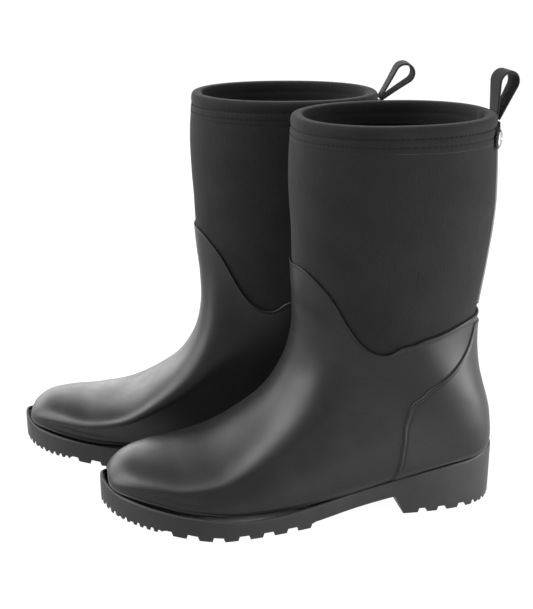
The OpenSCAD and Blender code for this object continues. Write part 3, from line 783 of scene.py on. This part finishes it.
# Pitch of the teeth round the toe and the heel, and how deep they are cut
TOE_TEETH = 5.4
HEEL_TEETH = 5.0
TOE_TEETH_DEPTH = 2.4
HEEL_TEETH_DEPTH = 1.8
# Thickness of the cup wall, and the depth of the groove along the middle of the lugs
CUP_WALL = 3.6
MIDDLE_GROOVE = 2.4


def tread_profile():
    """Underside along the middle: distance from the heel, height."""
    rows = [[-1, 6]]
    for lugs in (HEEL_LUGS, None, BALL_LUGS):
        if lugs is None:
            rows += WAIST
            continue
        for a, b in lugs:
            high_a = straight(a, GROUND) + straight(a, GROOVE)
            high_b = straight(b, GROUND) + straight(b, GROOVE)
            rows += [[a - LUG_SLANT, high_a], [a, straight(a, GROUND)]]
            rows += [[b, straight(b, GROUND)], [b + LUG_SLANT, high_b]]
    return rows + [[274, 11.5], [281, 14.5]]


def sole_rows():
    """Distances from the heel of the outsole's cross sections, dense at the tips and at each lug."""
    even = MID - MID * np.cos(np.radians(np.linspace(0, 180, 420)))
    lugs = [x for a, b in HEEL_LUGS + BALL_LUGS for x in (a - LUG_SLANT, a, b, b + LUG_SLANT)]
    corners = np.array(lugs + [w[0] for w in WAIST])
    kept = [f for f in even if np.abs(corners - f).min() > 0.3]
    return np.sort(np.concatenate([kept, corners]))


def teeth(length, pitch, depth):
    """A row of teeth along the outline: 0 on a tooth, depth between two."""
    phase = (length / pitch) % 1
    return depth * ease(np.abs(phase - 0.5), 0.22, 0.34)


def outsole():
    f = sole_rows()
    q = np.degrees(np.arccos(np.clip(1 - f / MID, -1, 1)))
    half, shift, _ = outline(q)
    y = MID - f
    welt = smooth(f, WELT)
    low = straight(f, tread_profile())
    edges = {}
    for s in (-1, 1):
        line = np.stack([shift + s * half, y], -1)
        tangent = np.gradient(line, axis=0)
        tangent /= np.maximum(np.linalg.norm(tangent, axis=1), 1e-9)[:, None]
        normal = s * np.stack([-tangent[:, 1], tangent[:, 0]], -1)
        normal[0], normal[-1] = (0, 1), (0, -1)
        length = np.concatenate([[0], np.cumsum(np.linalg.norm(np.diff(line, axis=0), axis=1))])
        toe = ease(f, 240, 246)
        heel = 1 - ease(f, 13, 18)
        ground = straight(f, GROUND)
        toe_low = ground + teeth(length[-1] - length, TOE_TEETH, TOE_TEETH_DEPTH)
        heel_low = ground + teeth(length, HEEL_TEETH, HEEL_TEETH_DEPTH)
        rim = low * (1 - toe - heel) + toe_low * toe + heel_low * heel
        edges[s] = (line, normal, rim)

    def at(s, inset, z):
        line, normal, _ = edges[s]
        return np.concatenate([line - normal * inset, np.broadcast_to(z, f.shape)[:, None]], axis=1)

    def band(s):
        """Outside of one side, from the welt line down."""
        rim = edges[s][2]
        rows = [at(s, inset, welt - d) for d, inset in BAND_TOP]
        for share in (0.35, 0.6, 0.8):
            rows.append(at(s, -0.15 * (1 - share), welt - 3 + (rim + 0.5 - welt + 3) * share))
        return rows + [at(s, 0.0, rim + 0.5), at(s, 0.15, rim + 0.12), at(s, 0.5, rim)]

    def inside(s):
        """Channel and cup wall of one side, from the welt line down to the cup floor."""
        rows = [at(s, inset, welt - d) for d, inset in CHANNEL]
        floor_z = straight(f, CUP_FLOOR)
        return rows + [at(s, 3.4, np.minimum(welt - 3.2, floor_z + 2)), at(s, CUP_WALL, floor_z)]

    across = np.array([-0.94, -0.9, -0.7, -0.5, -0.3, -0.15, 0.15, 0.3, 0.5, 0.7, 0.9, 0.94])
    under = []
    lugged = ((f > 8) & (f < 74)) | ((f > 140) & (f < 203))
    groove = np.where(lugged, MIDDLE_GROOVE, 0)
    stops = [(shift + u * half, np.where(abs(u) > 0.92, 1.0, 0.0), 0 * f) for u in across]
    for x in (-3.8, -3.3, 3.3, 3.8):
        reach = np.minimum(np.abs(x), 0.1 * half) * np.sign(x)
        stops.append((shift + reach, 0.0, groove if abs(x) < 3.5 else 0 * f))
    stops.sort(key=lambda stop: stop[0][len(f) // 2])
    for x, edge_share, cut in stops:
        s = 1 if x[len(f) // 2] > shift[len(f) // 2] else -1
        z = edges[s][2] * edge_share + low * (1 - edge_share)
        under.append(np.stack([x, y, np.maximum(z, cut)], -1))
    inner_half = np.maximum(half - CUP_WALL, 0)
    floor = [
        np.stack([shift + u * inner_half, y * (1 - CUP_WALL / MID), straight(f, CUP_FLOOR)], -1)
        for u in (0.8, 0.4, 0, -0.4, -0.8)
    ]
    loop = band(-1) + under + band(1)[::-1] + inside(1) + floor + inside(-1)[::-1]
    rings = np.swapaxes(np.array(loop), 0, 1)
    return loft(rings)


# ---- Footbed --------------------------------------------------------------------------------------
def footbed():
    q = np.linspace(0, 180, 120)
    first, last = FOOTBED[0][0], FOOTBED[-1][0]
    middle, reach = (first + last) / 2, (last - first) / 2
    f = middle - reach * np.cos(np.radians(q))
    stations = np.degrees(np.arccos(np.clip((middle - np.array([r[0] for r in FOOTBED])) / reach, -1, 1)))
    half = smooth(q, list(zip(stations, [r[1] for r in FOOTBED])))
    shift = smooth(f, column(FOOTBED, 2))
    under = smooth(f, CUP_FLOOR) + FOOTBED_LIFT
    section_line = [[-1, 0.6], [-1, 2.3], [-0.985, 2.75], [-0.95, 3], [-0.8, 2.9], [-0.5, 2.8], [0, 2.75]]
    upper = section_line + [[-u, h] for u, h in section_line[-2::-1]]
    lower = [[0.985, 0.15], [0.95, 0], [0.5, 0], [0, 0], [-0.5, 0], [-0.95, 0], [-0.985, 0.15]]
    rings = [
        np.stack([shift + u * half, MID - f, under + h * FOOTBED_T / 3], -1) for u, h in upper + lower
    ]
    return loft(np.swapaxes(np.array(rings), 0, 1))


# ---- Pull loop ------------------------------------------------------------------------------------
HINGE_Z = 269.5
LOOP_GAP = 0.6
# The tab leans with the collar; its top stays clear of the loop when that is folded right back
TAB_TILT = 4.5
TAB_H = 10
TAB_TOP = -2.25


def hinge():
    """Where the pull loop bends: distance towards the heel, height."""
    back = skin(16.6, 180, -1.05)
    return back[1] + LOOP_GAP + WEBBING_T, HINGE_Z


def lean_back(points, degrees):
    """Points of an upright loop, leaned towards the heel about the hinge."""
    q = math.radians(degrees)
    y, z = points[..., 1], points[..., 2]
    hinge_y, hinge_z = hinge()
    return np.stack([
        points[..., 0],
        hinge_y + y * math.cos(q) + z * math.sin(q),
        hinge_z - y * math.sin(q) + z * math.cos(q),
    ], -1)


def webbing(path, turn):
    """Ribbed strap along a path in the (y, z) plane; turn twists it about its long axis."""
    path = np.asarray(path, float)
    tangent = np.gradient(path, axis=0)
    tangent /= np.linalg.norm(tangent, axis=1)[:, None]
    normal = np.stack([tangent[:, 1], -tangent[:, 0]], -1)
    length = np.concatenate([[0], np.cumsum(np.linalg.norm(np.diff(path, axis=0), axis=1))])
    rib = 0.13 * np.cos(2 * np.pi * length / 1.1)
    half_w, half_t = WEBBING_W / 2, WEBBING_T / 2 - 0.05
    line = [[-half_w, 0], [-half_w + 0.15, 0.6], [-half_w + 0.5, 1]]
    line += [[x, 1] for x in np.linspace(-half_w + 1.2, half_w - 1.2, 9)]
    line += [[half_w - 0.5, 1], [half_w - 0.15, 0.6], [half_w, 0]]
    full = line + [[x, -h] for x, h in line[-2:0:-1]]
    rings = []
    for k, (y, z) in enumerate(path):
        q = math.radians(turn * z / LOOP_LEN)
        ring = []
        for x, h in full:
            selvedge = 0.7 if abs(x) > half_w - 1 else 1
            off = h * (half_t + rib[k] * selvedge)
            yy, zz = y + normal[k, 0] * off, z + normal[k, 1] * off
            ring.append([x * math.cos(q) - yy * math.sin(q), x * math.sin(q) + yy * math.cos(q), zz])
        rings.append(ring)
    return loft(rings)


def loop_path():
    """Middle line of the loop's strap, up one strand, over the round top and down the other."""
    r = LOOP_R - WEBBING_T / 2
    top = LOOP_LEN - LOOP_R
    base = WEBBING_T / 2 + 0.02
    spread = math.asin((r - base) / top)
    turn = np.linspace(-spread, math.pi + spread, 70)
    arc = np.stack([r * np.cos(turn), top + r * np.sin(turn)], -1)
    climb_up = np.linspace(0, 1, 50)[:, None] ** 0.9
    start = np.array([base, -0.6])
    bow = 0.5 * np.sin(np.pi * climb_up)
    strand = start + (arc[0] - start) * climb_up + bow * np.array([-0.5, 0])
    other = strand[::-1] * np.array([-1, 1])
    return np.concatenate([strand[:-1], arc, other[1:]])


def pull_loop(side):
    verts, faces = webbing(loop_path(), {"left": 14, "right": -6}[side])
    return lean_back(verts, LEAN[side]), faces


def tab_point(x, y, z):
    return lean_back(np.array([x, y, z], float), -TAB_TILT)


def loop_tab():
    """Both ends of the webbing, sewn flat on the collar under the loop."""
    heights = [TAB_TOP - TAB_H * k / 50 for k in range(51)]
    front = webbing([[WEBBING_T / 2 + 0.03, z] for z in heights], 0)
    rear = webbing([[-WEBBING_T / 2 - 0.03, z + 0.1] for z in heights], 0)
    verts, faces = joined([front, rear])
    return lean_back(verts, -TAB_TILT), faces


def tab_stitching():
    stitches = []
    for z in (-3.6, -6.6, -9.6):
        for k in range(4):
            x = -4.2 + 2.2 * k
            a, b = tab_point(x, WEBBING_T + 0.2, z), tab_point(x + 1.7, WEBBING_T + 0.2, z)
            stitches.append(capsule(a, b, 0.32, 0.9, tab_point(x, 9, z) - tab_point(x, 0, z)))
    return joined(stitches)


# ---- Rivet ----------------------------------------------------------------------------------------
RIVET_TURN = 33
RIVET_POINT = skin(16.12, 155, -1.05)
# Lathe profiles: radius, distance out of the collar
WASHER = [[2.2, 0.4], [6.2, 0.35], [6.8, 0.5], [7.0, 0.8], [6.75, 1.1], [6.3, 1.18], [2.2, 1.15]]
CAP = [
    [0, 1.25], [5.3, 1.25], [5.68, 1.4], [5.75, 1.7], [5.6, 2.02], [5.2, 2.3], [4.75, 2.4], [4.5, 2.28],
    [4.3, 2.3], [3.6, 2.52], [2.6, 2.7], [1.7, 2.76], [1.15, 2.74], [0.95, 2.5], [0.8, 2.1], [0.4, 2.0],
    [0, 2.0],
]
STEM = [[0, -9.0], [4.3, -9.0], [4.5, -8.8], [4.45, -8.4], [4.1, -8.2], [2.0, -8.15], [2.0, 1.15], [0, 1.15]]


def lathe(profile, side, knurl=0.0, around=72):
    """Solid of revolution that stands on the collar where the rivet sits.

    Both rivets are on the same side of the pair, so the right boot's is on the inside of its leg.
    """
    q = np.arange(around) * 2 * np.pi / around
    turn = math.radians(-OUTSIDE[side] * RIVET_TURN)
    rings = []
    for r, h in profile:
        wave = knurl * np.cos(12 * q) * ease(r, 2.4, 3.2) * (1 - ease(r, 3.8, 4.4))
        x, y, z = r * np.cos(q), h + wave, r * np.sin(q)
        rings.append(np.stack([
            x * math.cos(turn) - y * math.sin(turn), x * math.sin(turn) + y * math.cos(turn), z + 0 * x,
        ], -1))
    place_at = RIVET_POINT * np.array([OUTSIDE[side], 1, 1])
    if profile[0][0] > 0:
        verts, faces = hoop(np.swapaxes(np.array(rings), 0, 1))
    else:
        verts, faces = loft(rings[1:-1])
    return verts + place_at, faces


# ---- The pair -------------------------------------------------------------------------------------
for side in SIDES:
    piece(side + "_sole", side, outsole(), "outsole", "outsole_rubber", sharp=32, weld=True)
    piece(side + "_shell", side, foot_shell(), "foot_shell", "shell_rubber", sharp=50)
    piece(side + "_counter", side, heel_counter(), "heel_counter", "counter_rubber")
    piece(side + "_sock", side, neoprene_sock(), "neoprene_sock", "sock_neoprene")
    piece(side + "_leg", side, neoprene_leg(), "neoprene_leg", "neoprene_knit")
    piece(side + "_strip", side, back_strip(), "back_strip", "strip_tape")
    piece(side + "_inner", side, lining(), "lining", "lining_textile")
    piece(side + "_hem", side, collar_hem(), "collar_hem", "hem_knit")
    piece(side + "_hem_stitches", side, hem_stitching(), "hem_stitching", "thread")
    piece(side + "_tab", side, loop_tab(), "loop_tab", "webbing", sharp=60)
    piece(side + "_tab_stitches", side, tab_stitching(), "tab_stitching", "thread")
    piece(side + "_loop", side, pull_loop(side), "pull_loop", "webbing", body=side + "_loop")
    piece(side + "_washer", side, lathe(WASHER, side), "rivet_washer", "washer_rubber")
    piece(side + "_cap", side, lathe(CAP, side, knurl=0.16), "rivet_cap", "rivet_metal")
    piece(side + "_stem", side, lathe(STEM, side), "rivet_stem", "rivet_metal", sharp=50)
    piece(side + "_insole", side, footbed(), "footbed", "footbed_foam", body=side + "_insole")
    for node, material in (("shank", "shank_steel"), ("insole_board", "board_fibre")):
        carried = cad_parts[side + "_" + node]
        carried.data.materials.clear()
        carried.data.materials.append(MATERIALS[material])

# ---- Floor, light and camera ----------------------------------------------------------------------
floor_mesh = bpy.data.meshes.new("floor")
FLOOR_HALF = 9.0
floor_mesh.from_pydata(
    [(x * FLOOR_HALF, y * FLOOR_HALF, 0) for x, y in ((-1, -1), (1, -1), (1, 1), (-1, 1))], [], [(0, 1, 2, 3)]
)
floor = bpy.data.objects.new("floor", floor_mesh)
bpy.context.scene.collection.objects.link(floor)
floor_paint = bpy.data.materials.new("floor_paint")
floor_paint.use_nodes = True
floor_shader = floor_paint.node_tree.nodes["Principled BSDF"]
floor_shader.inputs["Base Color"].default_value = (0.06, 0.06, 0.06, 1)
floor_shader.inputs["Roughness"].default_value = 0.9
floor_shader.inputs["Specular IOR Level"].default_value = 0.1
floor_shader.inputs["Emission Color"].default_value = (1, 1, 1, 1)
floor_shader.inputs["Emission Strength"].default_value = 0.98
floor_mesh.materials.append(floor_paint)


def softbox(name, place_at, aim, width, height, power):
    light = bpy.data.lights.new(name, "AREA")
    light.shape = "RECTANGLE"
    light.size, light.size_y = width, height
    light.energy = power
    obj = bpy.data.objects.new(name, light)
    bpy.context.scene.collection.objects.link(obj)
    obj.location = place_at
    look(obj, aim)
    obj.visible_camera = False
    return obj


def look(obj, aim):
    """Turns a light or camera to face a point."""
    obj.rotation_euler = (Vector(aim) - Vector(obj.location)).to_track_quat("-Z", "Y").to_euler()


softbox("overhead", (0.15, -0.1, 1.7), (0, 0, 0.1), 1.0, 1.0, 11)
softbox("toe_top", (-0.09, -0.83, 1.25), (0.05, -0.12, 0.05), 0.6, 0.45, 14)
softbox("toe_side", (-0.12, -1.55, 0.9), (0.05, -0.08, 0.08), 1.8, 1.4, 60)
softbox("heel_low", (0.3, 0.4, 0.075), (0.05, 0.1, 0.1), 0.46, 0.14, 2.3)
softbox("heel_side", (0.45, 1.28, 0.44), (0.04, 0.1, 0.1), 0.9, 0.8, 23)
softbox("far_side", (-1.1, -0.25, 0.34), (0, 0, 0.1), 1.5, 0.62, 12)

world = bpy.data.worlds.new("studio")
bpy.context.scene.world = world
world.use_nodes = True
world.node_tree.nodes["Background"].inputs["Color"].default_value = (1, 1, 1, 1)
world.node_tree.nodes["Background"].inputs["Strength"].default_value = 0.38

AZIMUTH, ELEVATION, DISTANCE = 78.5, 19.33, 0.85
TARGET = (-0.00687, 0.01258, 0.12491)
LENS = 68.45
az, el = math.radians(AZIMUTH), math.radians(ELEVATION)
camera = bpy.data.objects.new("camera", bpy.data.cameras.new("camera"))
bpy.context.scene.collection.objects.link(camera)
camera.location = (
    TARGET[0] + DISTANCE * math.sin(az) * math.cos(el),
    TARGET[1] - DISTANCE * math.cos(az) * math.cos(el),
    TARGET[2] + DISTANCE * math.sin(el),
)
look(camera, TARGET)
camera.data.lens = LENS
camera.data.sensor_width = 36
camera.data.clip_start = 0.02
bpy.context.scene.camera = camera
bpy.context.scene.view_settings.view_transform = "Standard"
